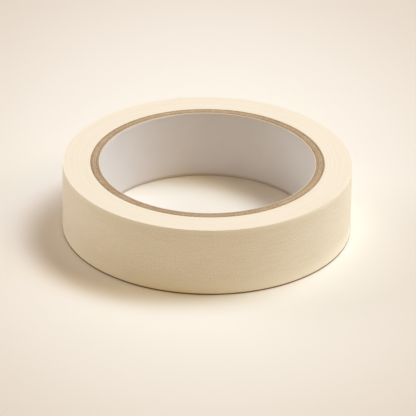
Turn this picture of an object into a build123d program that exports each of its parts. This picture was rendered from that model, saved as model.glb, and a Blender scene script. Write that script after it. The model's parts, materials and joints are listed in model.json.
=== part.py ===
from build123d import *
import math
import os

# A roll of masking tape, one inch wide, on a spiral-wound paper core with a three inch bore.
#
# The roll lies flat. +Z is its axis, and the origin is on that axis, in the plane of the
# face that it rests on. Lengths are in millimetres and angles in degrees. An azimuth is
# measured from +X towards +Y, so that 90 degrees is the back of the roll.

# Driving dimensions of the core
WIDTH = 25.4
BORE_RADIUS = 38.1
PLY_STRIP_WIDTH = 120.0
SEAM_GAP = 0.25

# Each ply of the core, from the bore outwards: its name, its thickness, and the azimuth
# at which its butt seam reaches the top face
CORE_PLIES = [
    ("core_liner", 0.6, 0.0),
    ("core_ply_1", 0.7, 72.0),
    ("core_ply_2", 0.7, 144.0),
    ("core_ply_3", 0.7, 216.0),
    ("core_outer_ply", 0.6, 288.0),
]

# Driving dimensions of the tape: creped paper backing with a layer of adhesive under it
BACKING_THICKNESS = 0.105
ADHESIVE_THICKNESS = 0.035
TURNS = 70
END_AZIMUTH = 104.0

# The groove that shows the adhesive between the edges of the turns, in both faces of the
# roll. It stops a little before the peel line, and its margin is an angle.
GROOVE_DEPTH = 0.3
GROOVE_END_MARGIN = 0.5

# The loose end is the last part of the tape. It peels off about a line across the tape.
LOOSE_END_ARC = 22.0
LOOSE_FILM_THICKNESS = 0.025
PEEL_LINE_GAP = 0.05

# How far a cutter reaches past the faces that it cuts
CUT_MARGIN = 0.2

# Worked out from the driving dimensions. An angle along a half turn runs from 0 to 180.
CORE_RADIUS = BORE_RADIUS + sum(thickness for _, thickness, _ in CORE_PLIES)
PITCH = BACKING_THICKNESS + ADHESIVE_THICKNESS
LAST_HALF_TURN = 2 * TURNS - 1
OUTER_RADIUS = CORE_RADIUS + ADHESIVE_THICKNESS + PITCH / 2 * LAST_HALF_TURN + BACKING_THICKNESS
PEEL_LINE_ANGLE = 180.0 - LOOSE_END_ARC


def seam_twist(radius):
    """The angle that a seam turns through over the width of the roll.

    A ply is a long strip wound edge to edge round the core. The strip's width, the turn's
    circumference and the helix angle form a right triangle, which gives the seam's lead.
    """
    circumference = 2 * math.pi * radius
    helix_angle = math.asin(PLY_STRIP_WIDTH / circumference)
    lead = circumference * math.tan(helix_angle)
    return 360.0 * WIDTH / lead


def seam_cutter(inner_radius, outer_radius, top_azimuth):
    """The narrow helical slot between the two edges of a wound ply."""
    middle_radius = (inner_radius + outer_radius) / 2
    twist_per_mm = seam_twist(middle_radius) / WIDTH
    bottom_azimuth = top_azimuth - twist_per_mm * (WIDTH + CUT_MARGIN)
    slot = Rectangle(outer_radius - inner_radius + 2 * CUT_MARGIN, SEAM_GAP)
    placed_slot = Pos(Z=-CUT_MARGIN) * Rot(Z=bottom_azimuth) * Pos(X=middle_radius) * slot
    reach = WIDTH + 2 * CUT_MARGIN
    return Solid.extrude_linear_with_rotation(
        placed_slot.face(), (0, 0, -CUT_MARGIN), (0, 0, reach), twist_per_mm * reach
    )


def core_ply(inner_radius, thickness, top_azimuth):
    """One ply of the core, open along its butt seam."""
    outer_radius = inner_radius + thickness
    ring = extrude(Circle(outer_radius) - Circle(inner_radius), WIDTH)
    return ring - seam_cutter(inner_radius, outer_radius, top_azimuth)


def core_plies():
    """All plies of the core by name, each lying on the one inside it."""
    plies = {}
    inner_radius = BORE_RADIUS
    for name, thickness, top_azimuth in CORE_PLIES:
        plies[name] = core_ply(inner_radius, thickness, top_azimuth)
        inner_radius += thickness
    return plies


def half_turn(index, layer_offset, start=0.0, end=180.0):
    """An arc of the tape's spiral, from one angle of its half turn to another.

    The spiral is made of half turns about two centres, half a pitch apart, so that each
    arc runs smoothly into the next. layer_offset is the distance outwards from the inner
    face of the backing.
    """
    centre = (PITCH / 2 * (index % 2), 0)
    radius = CORE_RADIUS + ADHESIVE_THICKNESS + PITCH / 2 * index + layer_offset
    return CenterArc(centre, radius, start + 180.0 * (index % 2), end - start)


def closed_face(lines):
    """The flat face inside a closed outline."""
    return Face(Wire([line.edge() for line in lines]))


def band_face(inner_arcs, outer_arcs):
    """The flat face between two runs of arcs, closed by a line across each end."""
    first_line = Line(inner_arcs[0] @ 0, outer_arcs[0] @ 0)
    last_line = Line(inner_arcs[-1] @ 1, outer_arcs[-1] @ 1)
    return closed_face([*inner_arcs, first_line, last_line, *outer_arcs])


def raised(face, height, base=0.0):
    """The solid over a flat face of the tape, from a base upwards.

    The spiral is drawn with its end at azimuth 0, and is turned here to where it ends.
    """
    return Rot(Z=END_AZIMUTH) * Pos(Z=base) * extrude(face, height, dir=(0, 0, 1))


def wound_face():
    """The face that the wound turns fill, from the core out to the step at the peel line."""
    outer_arcs = [
        half_turn(LAST_HALF_TURN - 2, BACKING_THICKNESS, start=PEEL_LINE_ANGLE),
        half_turn(LAST_HALF_TURN - 1, BACKING_THICKNESS),
        half_turn(LAST_HALF_TURN, BACKING_THICKNESS, end=PEEL_LINE_ANGLE),
    ]
    step = Line(outer_arcs[0] @ 0, outer_arcs[-1] @ 1)
    return closed_face([*outer_arcs, step]) - Circle(CORE_RADIUS)


def groove_face():
    """The narrow spiral gap between one turn's backing and the next, wherever two turns meet."""
    last_end = PEEL_LINE_ANGLE - GROOVE_END_MARGIN
    ends = [180.0] * (LAST_HALF_TURN - 2) + [last_end]
    inner_arcs = [half_turn(index, BACKING_THICKNESS, end=end) for index, end in enumerate(ends)]
    outer_arcs = [half_turn(index, PITCH, end=end) for index, end in enumerate(ends)]
    return band_face(inner_arcs, outer_arcs)


def tape_roll():
    """The wound tape: one strip, whose turns are bonded to each other by its adhesive."""
    groove = groove_face()
    bottom_groove = raised(groove, GROOVE_DEPTH + CUT_MARGIN, base=-CUT_MARGIN)
    top_groove = raised(groove, GROOVE_DEPTH + CUT_MARGIN, base=WIDTH - GROOVE_DEPTH)
    return raised(wound_face(), WIDTH) - bottom_groove - top_groove


def loose_layer(inner_offset, outer_offset):
    """One layer of the loose end, which continues the last half turn past the peel line."""
    start = PEEL_LINE_ANGLE + math.degrees(PEEL_LINE_GAP / OUTER_RADIUS)
    inner_arc = half_turn(LAST_HALF_TURN, inner_offset, start=start)
    outer_arc = half_turn(LAST_HALF_TURN, outer_offset, start=start)
    return raised(band_face([inner_arc], [outer_arc]), WIDTH)


def peel_hinge():
    """The middle of the peel line, on the tape's outer face, where the loose end's hinge is."""
    corner = half_turn(LAST_HALF_TURN, BACKING_THICKNESS, end=PEEL_LINE_ANGLE) @ 1
    return (Rot(Z=END_AZIMUTH) * Pos(corner.X, corner.Y, WIDTH / 2)).position


def build_nodes():
    """Every piece of the roll by name."""
    nodes = core_plies()
    nodes["tape_roll"] = tape_roll()
    nodes["tape_end"] = loose_layer(0.0, BACKING_THICKNESS)
    nodes["tape_end_adhesive"] = loose_layer(-LOOSE_FILM_THICKNESS, 0.0)
    return nodes


def main():
    os.makedirs("parts", exist_ok=True)
    for name, piece in build_nodes().items():
        export_step(piece, f"parts/{name}.step")
    print("the loose end's hinge is at", peel_hinge())


main()
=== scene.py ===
import json
import math

import bpy
import numpy as np
from mathutils import Matrix, Vector


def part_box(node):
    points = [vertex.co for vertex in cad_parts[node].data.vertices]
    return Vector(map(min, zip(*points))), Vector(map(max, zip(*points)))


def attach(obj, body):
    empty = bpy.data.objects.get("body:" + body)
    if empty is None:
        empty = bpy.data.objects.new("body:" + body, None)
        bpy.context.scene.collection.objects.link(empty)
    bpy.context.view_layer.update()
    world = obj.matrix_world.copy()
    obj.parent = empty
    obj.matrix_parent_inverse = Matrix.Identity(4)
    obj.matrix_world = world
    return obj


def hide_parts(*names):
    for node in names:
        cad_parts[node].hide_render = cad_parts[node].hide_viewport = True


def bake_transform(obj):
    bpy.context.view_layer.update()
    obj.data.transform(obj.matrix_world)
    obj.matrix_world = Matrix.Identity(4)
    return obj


# The looks of a roll of masking tape that lies on a pale floor.
#
# Lengths are in metres and azimuths in radians, from +X towards +Y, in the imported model's
# frame: +Z is the roll's axis and the floor is at z = 0.

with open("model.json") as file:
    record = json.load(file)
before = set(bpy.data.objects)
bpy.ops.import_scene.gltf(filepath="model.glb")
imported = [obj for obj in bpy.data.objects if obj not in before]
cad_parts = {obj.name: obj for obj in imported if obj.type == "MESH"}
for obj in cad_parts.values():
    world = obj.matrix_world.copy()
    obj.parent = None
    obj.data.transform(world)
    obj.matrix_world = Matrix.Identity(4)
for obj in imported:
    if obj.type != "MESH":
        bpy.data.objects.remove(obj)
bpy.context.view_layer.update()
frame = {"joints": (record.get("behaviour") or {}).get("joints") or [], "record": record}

MM = 0.001
FULL_TURN = 2 * math.pi

# Seeds, one for each random shape
TOP_SEED = 7
BOTTOM_SEED = 8
TAPE_SEED = 9
TORN_END_SEED = 10
FIRST_PLY_SEED = 17


# Sizes, read from the frame ---------------------------------------------------------------


def outer_radius_of(node):
    """Half the width of a node that goes all the way round the axis."""
    low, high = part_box(node)
    return (high.x - low.x) / 2


bore = next(mount for mount in frame["record"]["mounts"] if mount["name"] == "core_bore")
BORE_RADIUS = bore["dims"]["r_mm"] * MM
WIDTH = bore["dims"]["length_mm"] * MM
CORE_RADIUS = outer_radius_of("core_outer_ply")

hinge = Vector(frame["joints"][0]["pos_m"])
OUTER_RADIUS = hinge.xy.length
PEEL_AZIMUTH = math.atan2(hinge.y, hinge.x)

# The tape. At the peel line there are the wound turns, the outer turn and the loose end.
WOUND_TURNS = 69
PITCH = (OUTER_RADIUS - CORE_RADIUS) / (WOUND_TURNS + 2)
OUTER_TURN_THICKNESS = 0.98 * PITCH
BACKING = 0.75 * PITCH
FILM = 0.18 * PITCH

# How far the outer turn and the loose end stop short of the roll's full width at the top, and
# how far they and the core stay clear of the floor
TOP_RECESS = 0.02 * MM
BOTTOM_RECESS = 0.04 * MM


# Smooth random functions ------------------------------------------------------------------

# Brings a sum of sines to about -1 to 1
WAVE_GAIN = 1.6


def wave_sum(rng, lowest, highest, count):
    """A smooth function of azimuth that closes on itself, between about -1 and 1."""
    orders = rng.integers(lowest, highest + 1, count)
    phases = rng.uniform(0, FULL_TURN, count)
    weights = rng.uniform(0.5, 1.0, count)
    weights /= weights.sum()

    def value(azimuth):
        angle = np.multiply.outer(azimuth, orders) + phases
        return WAVE_GAIN * (np.sin(angle) * weights).sum(-1)

    return value


def wave_field(rng, lowest, highest, shortest, longest, count):
    """A smooth function of azimuth and height, between about -1 and 1."""
    orders = rng.integers(lowest, highest + 1, count)
    across = FULL_TURN / rng.uniform(shortest, longest, count)
    phases = rng.uniform(0, FULL_TURN, count)

    def value(azimuth, height):
        angle = azimuth[..., None] * orders + height[..., None] * across + phases
        return WAVE_GAIN * np.sin(angle).mean(-1)

    return value


def smooth_step(share):
    """Goes from 0 to 1 as the share does, and is level at both ends."""
    share = np.clip(share, 0.0, 1.0)
    return share * share * (3 - 2 * share)


def bump_at(azimuth, centre, width):
    """A smooth bump of height 1 on a circle."""
    away = (azimuth - centre + math.pi) % FULL_TURN - math.pi
    return np.exp(-((away / width) ** 2))


# Meshes -----------------------------------------------------------------------------------

SHARP_ANGLE = math.radians(50.0)


def on_circle(radius, azimuth, height):
    """Points from cylinder coordinates."""
    radius, azimuth, height = np.broadcast_arrays(radius, azimuth, height)
    return np.stack([radius * np.cos(azimuth), radius * np.sin(azimuth), height], -1)


def grid_quads(numbers):
    """Quads between neighbours in a grid of vertex numbers."""
    corners = [numbers[:-1, :-1], numbers[1:, :-1], numbers[1:, 1:], numbers[:-1, 1:]]
    return np.stack(corners, -1).reshape(-1, 4)


def make_piece(name, points, faces):
    """A mesh object with smooth shading, except across sharp edges."""
    mesh = bpy.data.meshes.new(name)
    mesh.from_pydata(points.reshape(-1, 3).tolist(), [], [list(map(int, face)) for face in faces])
    mesh.validate()
    mesh.shade_smooth()
    mesh.set_sharp_from_angle(angle=SHARP_ANGLE)
    piece = bpy.data.objects.new(name, mesh)
    bpy.context.scene.collection.objects.link(piece)
    return piece


def swept_strip(name, points):
    """A closed solid from cross-sections: points[column, place round the section, xyz]."""
    columns, around = points.shape[:2]
    numbers = np.arange(columns * around).reshape(columns, around)
    faces = list(grid_quads(np.hstack([numbers, numbers[:, :1]])))
    faces.append(numbers[0, :])
    faces.append(numbers[-1, ::-1])
    return make_piece(name, points, faces)


def keep_unrolled(piece, along, height):
    """Stores where each point lies on the unrolled tape, so that a finish follows the tape."""
    place = np.stack([along, height, np.zeros_like(along)], -1).reshape(-1, 3)
    attribute = piece.data.attributes.new("unrolled", "FLOAT_VECTOR", "POINT")
    attribute.data.foreach_set("vector", place.astype(np.float32).ravel())


# Nodes of a finish ------------------------------------------------------------------------


class Finish:
    """A material with short calls for the nodes that the finishes share."""

    def __init__(self, name, roughness, specular):
        self.material = bpy.data.materials.new(name)
        self.material.use_nodes = True
        self.tree = self.material.node_tree
        self.shader = self.tree.nodes["Principled BSDF"]
        self.shader.inputs["Roughness"].default_value = roughness
        self.shader.inputs["Specular IOR Level"].default_value = specular

    def node(self, kind, inputs, **settings):
        """A node, with its inputs linked or set. Gives the node."""
        made = self.tree.nodes.new(kind)
        for key, value in settings.items():
            setattr(made, key, value)
        for key, value in inputs.items():
            if isinstance(value, bpy.types.NodeSocket):
                self.tree.links.new(value, made.inputs[key])
            else:
                made.inputs[key].default_value = value
        return made

    def math(self, operation, *values):
        return self.node("ShaderNodeMath", dict(enumerate(values)), operation=operation).outputs[0]

    def vector_math(self, operation, *vectors):
        return self.node("ShaderNodeVectorMath", dict(enumerate(vectors)), operation=operation).outputs

    def weighted_sum(self, *parts):
        """The sum of (value, weight) pairs."""
        first, first_weight = parts[0]
        total = self.math("MULTIPLY", first, first_weight)
        for value, weight in parts[1:]:
            total = self.math("MULTIPLY_ADD", value, weight, total)
        return total

    def position(self):
        """The point in the row frame, in metres."""
        return self.node("ShaderNodeTexCoord", {}).outputs["Object"]

    def unrolled(self):
        """The point on the unrolled tape, in metres: along it, and up it."""
        return self.node("ShaderNodeAttribute", {}, attribute_name="unrolled").outputs["Vector"]

    def xyz(self, vector):
        """The three parts of a vector."""
        return self.node("ShaderNodeSeparateXYZ", {0: vector}).outputs

    def stretched(self, vector, sizes):
        """A vector measured in steps of the given sizes, in millimetres."""
        return self.vector_math("MULTIPLY", vector, [1 / (size * MM) for size in sizes])[0]

    def radius(self):
        """The point's distance from the roll's axis, in metres."""
        flat = self.vector_math("MULTIPLY", self.position(), (1.0, 1.0, 0.0))[0]
        return self.vector_math("LENGTH", flat)["Value"]

    def around_axis(self, along, radial, height):
        """Steps of the given sizes, in millimetres, around, away from, and along the axis."""
        x, y, z = self.xyz(self.position())
        depth = self.math("DIVIDE", self.radius(), radial * MM)
        places = {
            0: self.math("DIVIDE", x, along * MM),
            1: self.math("DIVIDE", y, along * MM),
            2: self.math("MULTIPLY_ADD", z, 1 / (height * MM), depth),
        }
        return self.node("ShaderNodeCombineXYZ", places).outputs[0]

    def noise(self, vector, detail, roughness):
        inputs = {"Vector": vector, "Scale": 1.0, "Detail": detail, "Roughness": roughness}
        return self.node("ShaderNodeTexNoise", inputs).outputs[0]

    def tape_noise(self, along, up, detail, roughness=0.5):
        """Noise on the unrolled tape, with grains of the given sizes in millimetres."""
        return self.noise(self.stretched(self.unrolled(), (along, up, 1.0)), detail, roughness)

    def even_noise(self, size, detail, roughness=0.5):
        """Noise in space, with grains of the given size in millimetres."""
        return self.noise(self.stretched(self.position(), (size, size, size)), detail, roughness)

    def ring_noise(self, along, radial, height, detail, roughness=0.5):
        """Noise drawn out round the axis, with grains of the given sizes in millimetres."""
        return self.noise(self.around_axis(along, radial, height), detail, roughness)

    def rise(self, value, low, high, start=0.0, end=1.0):
        """Goes smoothly from start to end as the value goes from low to high."""
        inputs = {"Value": value, "From Min": low, "From Max": high, "To Min": start, "To Max": end}
        return self.node("ShaderNodeMapRange", inputs, interpolation_type="SMOOTHSTEP").outputs[0]

    def fall(self, value, low, high):
        """Goes smoothly from 1 to 0 as the value goes from low to high."""
        return self.rise(value, low, high, start=1.0, end=0.0)

    def mix(self, share, first, second):
        """A colour between two colours: the first at 0 and the second at 1."""
        inputs = {0: share, 6: first, 7: second}
        return self.node("ShaderNodeMix", inputs, data_type="RGBA").outputs[2]

    def colour(self, value):
        self.tree.links.new(value, self.shader.inputs["Base Color"])

    def bump(self, height, depth, below=None):
        """Relief from a height between 0 and 1, as deep as given in millimetres."""
        inputs = {"Height": height, "Distance": depth * MM, "Strength": 1.0}
        if below is not None:
            inputs["Normal"] = below
        return self.node("ShaderNodeBump", inputs).outputs[0]

    def relief(self, normal):
        self.tree.links.new(normal, self.shader.inputs["Normal"])


def linear(red, green, blue):
    """A colour for a shader, from the usual 0 to 255 scale, by the sRGB formula."""
    channels = [value / 255 for value in (red, green, blue)]
    return [*(c / 12.92 if c <= 0.04045 else ((c + 0.055) / 1.055) ** 2.4 for c in channels), 1.0]


# The wound turns --------------------------------------------------------------------------

# How finely the spiral body is divided: round the roll, and across each turn's edge
WOUND_COLUMNS = 360
TOP_STEPS_PER_TURN = 2
BOTTOM_STEPS_PER_TURN = 1

# How far the edges of the turns lie inside the roll's width: all of them, and how much is
# added in the grooves between them, by unevenness along the tape, and by a slow drift
EDGE_DEPTH = 0.010 * MM
GROOVE_DEPTH = 0.018 * MM
UNEVEN_DEPTH = 0.022 * MM
DRIFT_DEPTH = 0.014 * MM

# The unevenness is a sum of this many sines, with their cycles per turn between two limits
UNEVEN_SINES = 14
UNEVEN_CYCLES = (0.15, 3.0)
UNEVEN_GAIN = 0.8

# The drift's radians per turn, and how far it wavers round the roll
DRIFT_RATE = 0.62
DRIFT_WAVER = 1.3

# The outermost turns rise off the floor: how many turns from the outside the rise starts, and
# over how many it happens
RISE_START = 30
RISE_TURNS = 22


def wound_depth(rng):
    """How far inside the roll's width each edge of the wound turns lies.

    place counts turns outwards at the start of a turn, so it is whole in the grooves between
    turns. The spiral joins place p after a full turn to place p + 1 before it.
    """
    rates = rng.uniform(*UNEVEN_CYCLES, UNEVEN_SINES)
    phases = rng.uniform(0, FULL_TURN, UNEVEN_SINES)
    waver = wave_sum(rng, lowest=1, highest=3, count=3)

    def depth(azimuth, place):
        turned = azimuth / FULL_TURN
        groove = 2 * np.abs(np.mod(place, 1.0) - 0.5)
        along_tape = np.multiply.outer(np.floor(place) + turned, FULL_TURN * rates)
        uneven = 0.5 + UNEVEN_GAIN * np.sin(along_tape + phases).mean(-1)
        drift = 0.5 + 0.5 * np.sin(DRIFT_RATE * (place + turned) + DRIFT_WAVER * waver(azimuth))
        return EDGE_DEPTH + GROOVE_DEPTH * groove + UNEVEN_DEPTH * uneven + DRIFT_DEPTH * drift

    return depth


def spiral_numbers(steps, per_turn, first):
    """Vertex numbers of a spiral ramp of columns by radial steps.

    After a full turn, each step has moved outwards by one turn of the tape. So the last
    row is the first row moved along, with new vertices at its outer end.
    """
    own = first + np.arange(WOUND_COLUMNS * (steps + 1)).reshape(WOUND_COLUMNS, steps + 1)
    extra = first + own.size + np.arange(per_turn)
    return np.vstack([own, np.concatenate([own[0, per_turn:], extra])])


def spiral_points(steps, per_turn, height_at):
    """The points that spiral_numbers numbers."""
    column, step = np.mgrid[0:WOUND_COLUMNS, 0 : steps + 1]
    column = np.append(column.ravel(), np.full(per_turn, WOUND_COLUMNS))
    step = np.append(step.ravel(), np.arange(steps + 1 - per_turn, steps + 1))
    azimuth = FULL_TURN * column / WOUND_COLUMNS
    place = step / per_turn
    radius = CORE_RADIUS + PITCH * (place + azimuth / FULL_TURN)
    return on_circle(radius, PEEL_AZIMUTH + azimuth, height_at(azimuth, place))


def make_wound_turns():
    """All turns but the outer one: a closed spiral body with an edge for every turn."""
    top_depth = wound_depth(np.random.default_rng(TOP_SEED))
    bottom_depth = wound_depth(np.random.default_rng(BOTTOM_SEED))

    def top_height(azimuth, place):
        return WIDTH - top_depth(azimuth, place)

    def bottom_height(azimuth, place):
        rise = smooth_step((place - WOUND_TURNS + RISE_START) / RISE_TURNS)
        return bottom_depth(azimuth, place) + BOTTOM_RECESS * rise

    top_steps = WOUND_TURNS * TOP_STEPS_PER_TURN
    bottom_steps = WOUND_TURNS * BOTTOM_STEPS_PER_TURN
    top = spiral_points(top_steps, TOP_STEPS_PER_TURN, top_height)
    bottom = spiral_points(bottom_steps, BOTTOM_STEPS_PER_TURN, bottom_height)
    above = spiral_numbers(top_steps, TOP_STEPS_PER_TURN, 0)
    below = spiral_numbers(bottom_steps, BOTTOM_STEPS_PER_TURN, len(top))
    inner_wall = np.stack([above[:, 0], below[:, 0]], 1)
    outer_wall = np.stack([below[:, -1], above[:, -1]], 1)
    start_face = [*below[0, : BOTTOM_STEPS_PER_TURN + 1], *above[0, TOP_STEPS_PER_TURN::-1]]
    end_face = [*above[-1, -TOP_STEPS_PER_TURN - 1 :], *below[-1, : -BOTTOM_STEPS_PER_TURN - 2 : -1]]
    faces = [
        *grid_quads(above[:, ::-1]),
        *grid_quads(below),
        *grid_quads(inner_wall),
        *grid_quads(outer_wall),
        start_face,
        end_face,
    ]
    return make_piece("wound_turns", np.vstack([top, bottom]), faces)


# The outer turn and the loose end ---------------------------------------------------------

# How finely the outer turn and the loose end are divided, along the tape and across it
OUTER_TURN_COLUMNS = 721
LOOSE_COLUMNS = 111
TAPE_ROWS = 44

# How far the tape's face curves in at its edges, over what height, and how wavy the face is
EDGE_ROUNDING = 0.11 * MM
EDGE_ROUNDING_REACH = 0.80 * MM
TAPE_WAVES = 0.012 * MM
tape_wave = wave_field(
    np.random.default_rng(TAPE_SEED), lowest=2, highest=14, shortest=5 * MM, longest=30 * MM, count=10
)

# The loose end: the arc up to its torn edge, how uneven the tear is, coarsely and finely, how
# far it stays inside the arc, and how many radians of the random waves cross the tape
LOOSE_ARC = math.radians(21.5)
TORN_COARSELY = 0.45 * MM
TORN_FINELY = 0.16 * MM
TORN_MARGIN = 0.5 * MM
TORN_WAVE_SPAN = 3.0

# How far the tip of the loose end has lifted, and which share of the loose end is its tip
TIP_LIFT = 0.30 * MM
TIP_SHARE = 0.2


def tape_section(azimuth, thickness, outer_radius):
    """Cross-sections of the tape at the given azimuths: up its outer face and down its inner face.

    azimuth is a column of azimuths, or a grid of them with one for each row of the face.
    Gives radius, azimuth and height for each point.
    """
    level = np.linspace(0.0, 1.0, TAPE_ROWS)
    height = np.tile(level, (len(azimuth), 1)) * (WIDTH - TOP_RECESS - BOTTOM_RECESS) + BOTTOM_RECESS
    azimuth = np.broadcast_to(azimuth, height.shape)
    outer_radius = np.broadcast_to(outer_radius, height.shape)
    from_edge = np.minimum(height, WIDTH - height)
    rounding = EDGE_ROUNDING * np.exp(-from_edge / EDGE_ROUNDING_REACH)
    face_radius = outer_radius + TAPE_WAVES * tape_wave(azimuth, height) - rounding
    outer = (face_radius, azimuth, height)
    inner = (face_radius - thickness, azimuth, height)
    return [np.hstack([up, down[:, ::-1]]) for up, down in zip(outer, inner)]


def make_outer_turn():
    """The last whole turn, whose outer face is the side of the roll."""
    turned = np.linspace(0.0, 1.0, OUTER_TURN_COLUMNS)[:, None]
    radius = OUTER_RADIUS - PITCH + PITCH * turned
    points = tape_section(PEEL_AZIMUTH + FULL_TURN * turned, OUTER_TURN_THICKNESS, radius)
    piece = swept_strip("outer_turn", on_circle(*points))
    keep_unrolled(piece, points[1] * OUTER_RADIUS, points[2])
    return piece


def loose_azimuths(rng):
    """Azimuths over the loose end, which stops at an uneven torn edge."""
    up_the_tear = TORN_WAVE_SPAN * np.linspace(0.0, 1.0, TAPE_ROWS)
    coarse = wave_sum(rng, lowest=1, highest=6, count=4)
    fine = wave_sum(rng, lowest=12, highest=40, count=8)
    ragged = TORN_COARSELY * coarse(up_the_tear) + TORN_FINELY * fine(up_the_tear)
    end = PEEL_AZIMUTH + LOOSE_ARC - (TORN_MARGIN + ragged) / OUTER_RADIUS
    share = np.linspace(0.0, 1.0, LOOSE_COLUMNS)[:, None]
    return PEEL_AZIMUTH + share * (end - PEEL_AZIMUTH)


def loose_lift(azimuth):
    """How far the end of the tape has lifted off the roll."""
    share = (azimuth - PEEL_AZIMUTH) / LOOSE_ARC
    into_tip = np.clip((share - 1 + TIP_SHARE) / TIP_SHARE, 0, 1)
    return TIP_LIFT * into_tip**2


def make_loose_layer(name, below, thickness):
    """A layer of the loose end, as far below the tape's outer face as given."""
    azimuth = loose_azimuths(np.random.default_rng(TORN_END_SEED))
    turned = (azimuth - PEEL_AZIMUTH) / FULL_TURN
    radius = OUTER_RADIUS + PITCH * turned + loose_lift(azimuth) - below
    points = tape_section(azimuth, thickness, radius)
    piece = swept_strip(name, on_circle(*points))
    keep_unrolled(piece, (points[1] + FULL_TURN) * OUTER_RADIUS, points[2])
    return piece


# The core ---------------------------------------------------------------------------------

# The plies, from the bore outwards: the node, the azimuth in degrees at which the seam
# reaches the top, and how far the cut edge lies below the top
PLIES = [
    ("core_liner", 0.0, 0.02 * MM),
    ("core_ply_1", 72.0, 0.06 * MM),
    ("core_ply_2", 144.0, 0.01 * MM),
    ("core_ply_3", 216.0, 0.03 * MM),
    ("core_outer_ply", 288.0, 0.07 * MM),
]

# How far a seam turns round the core over its height, and how wide it is open
SEAM_TWIST = math.radians(66.0)
SEAM_GAP = 0.2 * MM

# Where the points of a ply's cut edge lie, as shares of its thickness
ACROSS_PLY = np.array([0.0, 0.12, 0.35, 0.65, 0.88, 1.0])

# How finely the plies are divided, round the core and up it
LINER_GRID = (721, 30)
BOARD_GRID = (541, 12)

# How far below the top a ply starts to lean, and how round its lower corners are
LEAN_HEIGHT = 1.2 * MM
LOWER_ROUNDING = 0.1 * MM

# The saw-cut edge of a board: how round its corners are, its waves, and its fibres, which
# run so many radians round the core from one face of the ply to the other
BOARD_ROUNDING = 0.10 * MM
BOARD_WAVES = 0.025 * MM
BOARD_FIBRES = 0.035 * MM
BOARD_FIBRE_SLANT = 0.4

# The lip of the liner: how far it leans outwards, and how uneven its two faces are there
LIP_LEAN = 0.06 * MM
LIP_UNEVEN_OUTSIDE = 0.05 * MM
LIP_UNEVEN_INSIDE = 0.03 * MM

# The lip's upper edge: how round its corners are, and its fibres
LIP_ROUNDING = 0.16 * MM
LIP_FIBRES = 0.03 * MM
LIP_FIBRE_SLANT = 0.5

# Where the lip is frayed, as azimuth and width in degrees, and how far it spreads there
FRAYED_PLACES = [(37.0, 3.5), (118.0, 4.0), (143.0, 2.0)]
FRAY_OUTSIDE = 0.22 * MM
FRAY_INSIDE = 0.12 * MM

# Where the liner laps itself, how wide that place is, and how much thicker it is there
LAP_AZIMUTH = math.radians(-1.2)
LAP_WIDTH = math.radians(1.3)
LAP_THICKNESS = 0.34 * MM


def ply_points(inner_radius, outer_radius, seam_azimuth, rim, grid):
    """Cross-sections of a wound ply, which is open along a helical seam.

    rim(azimuth, share) gives the top edge's radial shift and depth, for a share of the
    thickness from the inner face at 0 to the outer face at 1.
    """
    columns, rows = grid
    level = np.linspace(0.0, 1.0, rows)
    between = ACROSS_PLY[1:-1]
    share = np.concatenate([np.ones(rows), between[::-1], np.zeros(rows), between])
    up = np.concatenate([level, np.ones(len(between)), level[::-1], np.zeros(len(between))])
    turned = np.linspace(0.0, 1.0, columns)[:, None]
    gap = SEAM_GAP / outer_radius
    azimuth = seam_azimuth - SEAM_TWIST * (1 - up) + gap / 2 + turned * (FULL_TURN - gap)
    share, up = (np.tile(values, (columns, 1)) for values in (share, up))
    shift, depth = rim(azimuth, share)
    bottom_depth = BOTTOM_RECESS + LOWER_ROUNDING * np.abs(2 * share - 1) ** 3
    near_top = np.clip(1 - (1 - up) * WIDTH / LEAN_HEIGHT, 0, 1) ** 2
    height = bottom_depth + up * (WIDTH - depth - bottom_depth)
    radius = inner_radius + share * (outer_radius - inner_radius) + near_top * shift
    return on_circle(radius, azimuth, height)


def board_rim(rng, recess):
    """The saw-cut edge of a board ply: rounded corners, and fibres that stand up unevenly."""
    coarse = wave_sum(rng, lowest=3, highest=20, count=8)
    fine = wave_sum(rng, lowest=60, highest=170, count=24)

    def rim(azimuth, share):
        corner = np.abs(2 * share - 1) ** 4
        fibres = BOARD_FIBRES * fine(azimuth + BOARD_FIBRE_SLANT * share)
        depth = recess + BOARD_ROUNDING * corner + BOARD_WAVES * coarse(azimuth) + fibres
        return np.zeros_like(azimuth), depth

    return rim


def liner_rim(rng, recess):
    """The lip of the liner: soft, uneven, frayed in places and thick where it laps itself.

    Its inner face has the same waves as its outer face, moved round the core.
    """
    coarse = wave_sum(rng, lowest=3, highest=14, count=6)
    fine = wave_sum(rng, lowest=30, highest=150, count=24)

    def rim(azimuth, share):
        fray = sum(bump_at(azimuth, math.radians(at), math.radians(wide)) for at, wide in FRAYED_PLACES)
        lap = LAP_THICKNESS * bump_at(azimuth, LAP_AZIMUTH, LAP_WIDTH)
        outside = LIP_LEAN + LIP_UNEVEN_OUTSIDE * (coarse(azimuth) + fine(azimuth))
        inside = LIP_UNEVEN_INSIDE * (coarse(azimuth + 1) + fine(azimuth + 2))
        shift = share * (outside + FRAY_OUTSIDE * fray + lap) - (1 - share) * (inside + FRAY_INSIDE * fray)
        corner = np.abs(2 * share - 1) ** 3
        fibres = (1 + fine(azimuth + LIP_FIBRE_SLANT * share)) * (1 + fray)
        return shift, recess + LIP_ROUNDING * corner + LIP_FIBRES * fibres

    return rim


def make_ply(index, node, seam_degrees, recess):
    """One ply of the core. The first one is the liner."""
    rng = np.random.default_rng(FIRST_PLY_SEED + index)
    if index == 0:
        inner_radius = BORE_RADIUS
        rim = liner_rim(rng, recess)
        grid = LINER_GRID
    else:
        inner_radius = outer_radius_of(PLIES[index - 1][0])
        rim = board_rim(rng, recess)
        grid = BOARD_GRID
    points = ply_points(inner_radius, outer_radius_of(node), math.radians(seam_degrees), rim, grid)
    return swept_strip(node.replace("core_", "cut_"), points)


# Finishes ---------------------------------------------------------------------------------

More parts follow.
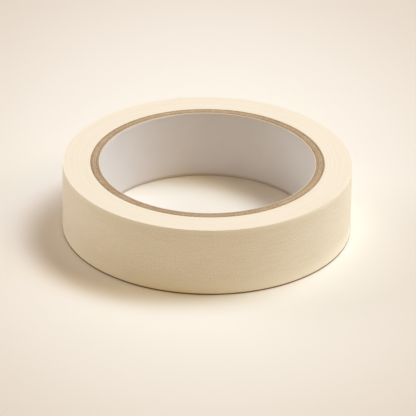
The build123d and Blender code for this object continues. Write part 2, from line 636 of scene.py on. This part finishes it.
# Creped paper: its mottle, the painted light near its edges (a painted highlight at the top and a painted
# brightening low on the side) and how far that reaches from the top and from the bottom, and the painted
# contact shadow where the roll meets the floor
CREPE_DARK = linear(234, 219, 195)
CREPE_PALE = linear(253, 246, 231)
# Painted light: a pale colour that paints a highlight along the top edge of the side and brightens its low
# part against the shade there
CREPE_PAINTED_EDGE_LIGHT = linear(254, 246, 228)
# Painted shade: a dark brown contact shadow where the roll meets the floor
CREPE_PAINTED_CONTACT_SHADE = linear(140, 97, 14)
PAINTED_TOP_HIGHLIGHT_REACH = 2.2 * MM
PAINTED_BOTTOM_LIGHT_REACH = 7.0 * MM
CONTACT_SHADE_FULL = 0.42 * MM
CONTACT_SHADE_END = 0.66 * MM


def crepe_finish():
    """Creped paper: a fine mottled grain, faint lines along the tape, a painted highlight at the top edge,
    painted light low on the side, and a painted contact shadow at the foot.
    """
    finish = Finish("crepe_paper", roughness=0.66, specular=0.3)
    grain = finish.tape_noise(along=0.36, up=0.32, detail=4.0, roughness=0.75)
    lines = finish.tape_noise(along=13.0, up=0.35, detail=2.0, roughness=0.6)
    streaks = finish.tape_noise(along=5.0, up=0.60, detail=3.0, roughness=0.6)
    clouds = finish.tape_noise(along=22.0, up=12.0, detail=2.0)
    tone = finish.weighted_sum((grain, 0.78), (lines, 0.12), (streaks, 0.05), (clouds, 0.05))
    body = finish.mix(finish.rise(tone, low=0.428, high=0.557), CREPE_DARK, CREPE_PALE)
    height = finish.xyz(finish.unrolled())[1]
    below_top = finish.math("SUBTRACT", WIDTH, height)
    # Painted highlight along the top edge, and painted light that brightens the side towards the bottom
    painted_top_highlight = finish.fall(below_top, 0.0, PAINTED_TOP_HIGHLIGHT_REACH)
    painted_bottom_light = finish.fall(height, 0.0, PAINTED_BOTTOM_LIGHT_REACH)
    with_painted_edge_light = finish.mix(finish.math("MAXIMUM", painted_top_highlight, painted_bottom_light), body, CREPE_PAINTED_EDGE_LIGHT)
    # Painted contact shadow in the lowest part of the side
    finish.colour(finish.mix(finish.fall(height, CONTACT_SHADE_FULL, CONTACT_SHADE_END), with_painted_edge_light, CREPE_PAINTED_CONTACT_SHADE))
    relief = finish.bump(lines, depth=0.02)
    relief = finish.bump(streaks, depth=0.02, below=relief)
    finish.relief(finish.bump(grain, depth=0.06, below=relief))
    return finish.material


EDGE_DARK = linear(237, 223, 200)
EDGE_MID = linear(243, 232, 216)
EDGE_PALE = linear(248, 239, 228)


def edge_finish():
    """The edges of the wound turns: cream, with faint rings where turns stand proud or dull."""
    finish = Finish("tape_edges", roughness=0.7, specular=0.3)
    rings = finish.ring_noise(along=60.0, radial=0.42, height=4.0, detail=2.0, roughness=0.6)
    lines = finish.ring_noise(along=20.0, radial=0.14, height=4.0, detail=1.0)
    specks = finish.even_noise(size=0.55, detail=3.0, roughness=0.7)
    tone = finish.weighted_sum((rings, 0.34), (lines, 0.36), (specks, 0.30))
    dark_to_mid = finish.mix(finish.rise(tone, low=0.30, high=0.50), EDGE_DARK, EDGE_MID)
    finish.colour(finish.mix(finish.rise(tone, low=0.48, high=0.68), dark_to_mid, EDGE_PALE))
    relief = finish.bump(lines, depth=0.02)
    finish.relief(finish.bump(specks, depth=0.03, below=relief))
    return finish.material


INNER_BOARD_DARK = linear(160, 134, 106)
INNER_BOARD_PALE = linear(189, 164, 136)
BOARD_DARK = linear(172, 147, 118)
BOARD_PALE = linear(205, 182, 155)
KRAFT_DARK = linear(152, 126, 98)
KRAFT_PALE = linear(190, 165, 136)


def board_finish(name, dark, pale):
    """Grey-brown board: long fibres along the ply, specks, and a dull surface."""
    finish = Finish(name, roughness=0.85, specular=0.2)
    fibres = finish.ring_noise(along=1.1, radial=0.22, height=0.3, detail=4.0, roughness=0.7)
    specks = finish.even_noise(size=0.7, detail=3.0, roughness=0.8)
    clouds = finish.even_noise(size=6.0, detail=2.0)
    tone = finish.weighted_sum((fibres, 0.40), (specks, 0.45), (clouds, 0.15))
    finish.colour(finish.mix(finish.rise(tone, low=0.40, high=0.60), dark, pale))
    relief = finish.bump(fibres, depth=0.10)
    finish.relief(finish.bump(specks, depth=0.08, below=relief))
    return finish.material


# Liner paper: its mottle, its cut lip and the height over which that starts, the painted contact
# shadow by the floor and its height, and the brown back, which starts so deep in the paper, with
# fibres that reach so much further
LINER_DARK = linear(225, 220, 221)
LINER_PALE = linear(227, 223, 224)
LINER_LIP = linear(221, 210, 194)
LIP_START = WIDTH - 0.50 * MM
LIP_FULL = WIDTH - 0.15 * MM
# Painted shade: the contact shadow at the foot of the bore's wall
LINER_PAINTED_CONTACT_SHADE = linear(196, 183, 169)
LINER_CONTACT_SHADE_END = 1.8 * MM
LINER_BACK = linear(184, 158, 128)
BACK_START = BORE_RADIUS + 0.46 * MM
BACK_FULL = BORE_RADIUS + 0.56 * MM
BACK_FIBRES = 0.25 * MM


def liner_finish():
    """White liner paper: creamy at its lip, with a painted contact shadow by the floor, and brown at the
    back.
    """
    finish = Finish("liner_paper", roughness=0.6, specular=0.35)
    mottle = finish.even_noise(size=7.0, detail=3.0)
    fibres = finish.ring_noise(along=1.5, radial=0.5, height=0.25, detail=3.0, roughness=0.7)
    tone = finish.weighted_sum((mottle, 0.5), (fibres, 0.5))
    face = finish.mix(finish.rise(tone, low=0.3, high=0.7), LINER_DARK, LINER_PALE)
    height = finish.xyz(finish.position())[2]
    face = finish.mix(finish.rise(height, LIP_START, LIP_FULL), face, LINER_LIP)
    # Painted contact shadow, darker towards the floor
    face = finish.mix(finish.fall(height, 0.0, LINER_CONTACT_SHADE_END), face, LINER_PAINTED_CONTACT_SHADE)
    into_paper = finish.math("MULTIPLY_ADD", fibres, BACK_FIBRES, finish.radius())
    finish.colour(finish.mix(finish.rise(into_paper, BACK_START, BACK_FULL), face, LINER_BACK))
    finish.relief(finish.bump(fibres, depth=0.02))
    return finish.material


ADHESIVE_DARK = linear(237, 220, 182)
ADHESIVE_PALE = linear(246, 235, 205)


def adhesive_finish():
    """The adhesive under the loose end: pale amber and slightly glossy."""
    finish = Finish("adhesive", roughness=0.32, specular=0.5)
    patches = finish.tape_noise(along=1.6, up=1.1, detail=4.0, roughness=0.65)
    finish.colour(finish.mix(finish.rise(patches, low=0.3, high=0.7), ADHESIVE_DARK, ADHESIVE_PALE))
    finish.relief(finish.bump(patches, depth=0.03))
    return finish.material


# The whole roll ---------------------------------------------------------------------------


def dress(piece, material):
    """Gives a piece its material. Gives the piece."""
    piece.data.materials.append(material)
    return piece


def make_tape():
    """The wound tape and its loose end."""
    crepe = crepe_finish()
    wound = dress(make_wound_turns(), edge_finish())
    outer = dress(make_outer_turn(), crepe)
    for piece in (wound, outer):
        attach(piece, "roll")
        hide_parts("tape_roll")
    backing = dress(make_loose_layer("loose_backing", 0.0, BACKING), crepe)
    film = dress(make_loose_layer("loose_film", BACKING, FILM), adhesive_finish())
    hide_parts("tape_end")
    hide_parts("tape_end_adhesive")
    for piece in (backing, film):
        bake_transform(piece)


def make_core():
    """The plies of the core, each in its own paper."""
    inner_board = board_finish("board_inner", INNER_BOARD_DARK, INNER_BOARD_PALE)
    board = board_finish("board", BOARD_DARK, BOARD_PALE)
    kraft = board_finish("kraft", KRAFT_DARK, KRAFT_PALE)
    finishes = [liner_finish(), inner_board, board, board, kraft]
    for index, (node, seam_degrees, recess) in enumerate(PLIES):
        piece = dress(make_ply(index, node, seam_degrees, recess), finishes[index])
        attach(piece, "roll")
        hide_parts(node)


# The studio -------------------------------------------------------------------------------

LENS_MM = 432.7
SENSOR_MM = 36.0
CAMERA_BACK = 1.5689
CAMERA_UP = 0.8437
CAMERA_PITCH = math.radians(28.073)
CAMERA_YAW = math.radians(0.016)
CAMERA_ROLL = math.radians(0.82)

LIGHT_DISTANCE = 3.0

# Round softboxes, aimed at the roll: name, azimuth and elevation in degrees, size, power, colour.
# The first four stand for a wide window on the right.
SOFTBOXES = [
    ("window_high", 20.0, 63.0, 1.1, 23.4, (1.0, 0.90, 0.83)),
    ("window_low", 20.0, 54.0, 1.1, 24.0, (0.57, 0.84, 1.0)),
    ("window_back", 50.0, 58.0, 1.1, 26.3, (0.71, 0.82, 1.0)),
    ("window_front", -15.0, 45.0, 1.1, 12.4, (1.0, 0.76, 0.19)),
    ("fill_right", 0.0, 25.0, 1.8, 19.4, (0.59, 0.77, 1.0)),
    ("fill_left", 155.0, 25.0, 1.8, 26.6, (0.88, 0.92, 1.0)),
    ("fill_front", 205.0, 25.0, 1.8, 8.0, (0.93, 1.0, 0.79)),
]
SKY_COLOUR = (1.0, 0.64, 0.27, 1.0)
SKY_STRENGTH = 0.269

# The floor: half its width, its painted light by the roll and painted fall-off far away, where it is
# palest, and how far from there it has darkened by two thirds, in millimetres along each axis
FLOOR_HALF_WIDTH = 3.0
FLOOR_PAINTED_LIT = linear(247, 243, 238)
FLOOR_PAINTED_DIM = linear(217, 204, 194)
FLOOR_CENTRE = (-2.9 * MM, 21.5 * MM, 0.0)
FLOOR_PAINTED_FALLOFF_REACH = (104.8, 177.8, 1.0)


def make_camera():
    """A long lens in front of the roll, looking down at it and rolled very slightly."""
    data = bpy.data.cameras.new("camera")
    data.lens = LENS_MM
    data.sensor_width = SENSOR_MM
    data.clip_start = 0.01
    data.clip_end = 100.0
    camera = bpy.data.objects.new("camera", data)
    level = Vector((math.cos(CAMERA_YAW), -math.sin(CAMERA_YAW), 0.0))
    ahead = Vector((math.sin(CAMERA_YAW), math.cos(CAMERA_YAW), 0.0))
    forward = math.cos(CAMERA_PITCH) * ahead - math.sin(CAMERA_PITCH) * Vector((0.0, 0.0, 1.0))
    upright = level.cross(forward)
    right = math.cos(CAMERA_ROLL) * level + math.sin(CAMERA_ROLL) * upright
    up = math.cos(CAMERA_ROLL) * upright - math.sin(CAMERA_ROLL) * level
    turn = Matrix((right, up, -forward)).transposed().to_4x4()
    camera.matrix_world = Matrix.Translation((0.0, -CAMERA_BACK, CAMERA_UP)) @ turn
    bpy.context.scene.collection.objects.link(camera)
    bpy.context.scene.camera = camera


def make_softbox(name, azimuth_degrees, elevation_degrees, size, power, colour):
    """A round light that faces the roll."""
    azimuth = math.radians(azimuth_degrees)
    elevation = math.radians(elevation_degrees)
    level = math.cos(elevation)
    towards = Vector((math.cos(azimuth) * level, math.sin(azimuth) * level, math.sin(elevation)))
    data = bpy.data.lights.new(name, "AREA")
    data.shape = "DISK"
    data.size = size
    data.energy = power
    data.color = colour
    light = bpy.data.objects.new(name, data)
    light.location = towards * LIGHT_DISTANCE
    light.rotation_mode = "QUATERNION"
    light.rotation_quaternion = towards.to_track_quat("Z", "Y")
    bpy.context.scene.collection.objects.link(light)


def make_sky():
    """A plain warm glow from all round."""
    world = bpy.data.worlds.new("studio")
    world.use_nodes = True
    background = world.node_tree.nodes["Background"]
    background.inputs["Color"].default_value = SKY_COLOUR
    background.inputs["Strength"].default_value = SKY_STRENGTH
    bpy.context.scene.world = world
    bpy.context.scene.view_settings.view_transform = "Standard"


def make_floor():
    """A pale matte floor, with a painted pool of light that fades slightly away from the roll."""
    signs = [(-1, -1), (1, -1), (1, 1), (-1, 1)]
    corners = np.array([(FLOOR_HALF_WIDTH * x, FLOOR_HALF_WIDTH * y, 0.0) for x, y in signs])
    floor = make_piece("floor", corners, [[0, 1, 2, 3]])
    finish = Finish("floor", roughness=0.8, specular=0.2)
    from_centre = finish.vector_math("SUBTRACT", finish.position(), FLOOR_CENTRE)[0]
    away = finish.stretched(from_centre, FLOOR_PAINTED_FALLOFF_REACH)
    squared = finish.vector_math("DOT_PRODUCT", away, away)["Value"]
    cubed = finish.math("POWER", squared, 1.5)
    # Painted pool of light: 1 where the floor is palest, falling towards 0 far from the roll
    near = finish.math("EXPONENT", finish.math("MULTIPLY", cubed, -1.0))
    finish.colour(finish.mix(near, FLOOR_PAINTED_DIM, FLOOR_PAINTED_LIT))
    floor.data.materials.append(finish.material)


make_camera()
for softbox in SOFTBOXES:
    make_softbox(*softbox)
make_sky()
make_floor()
make_core()
make_tape()
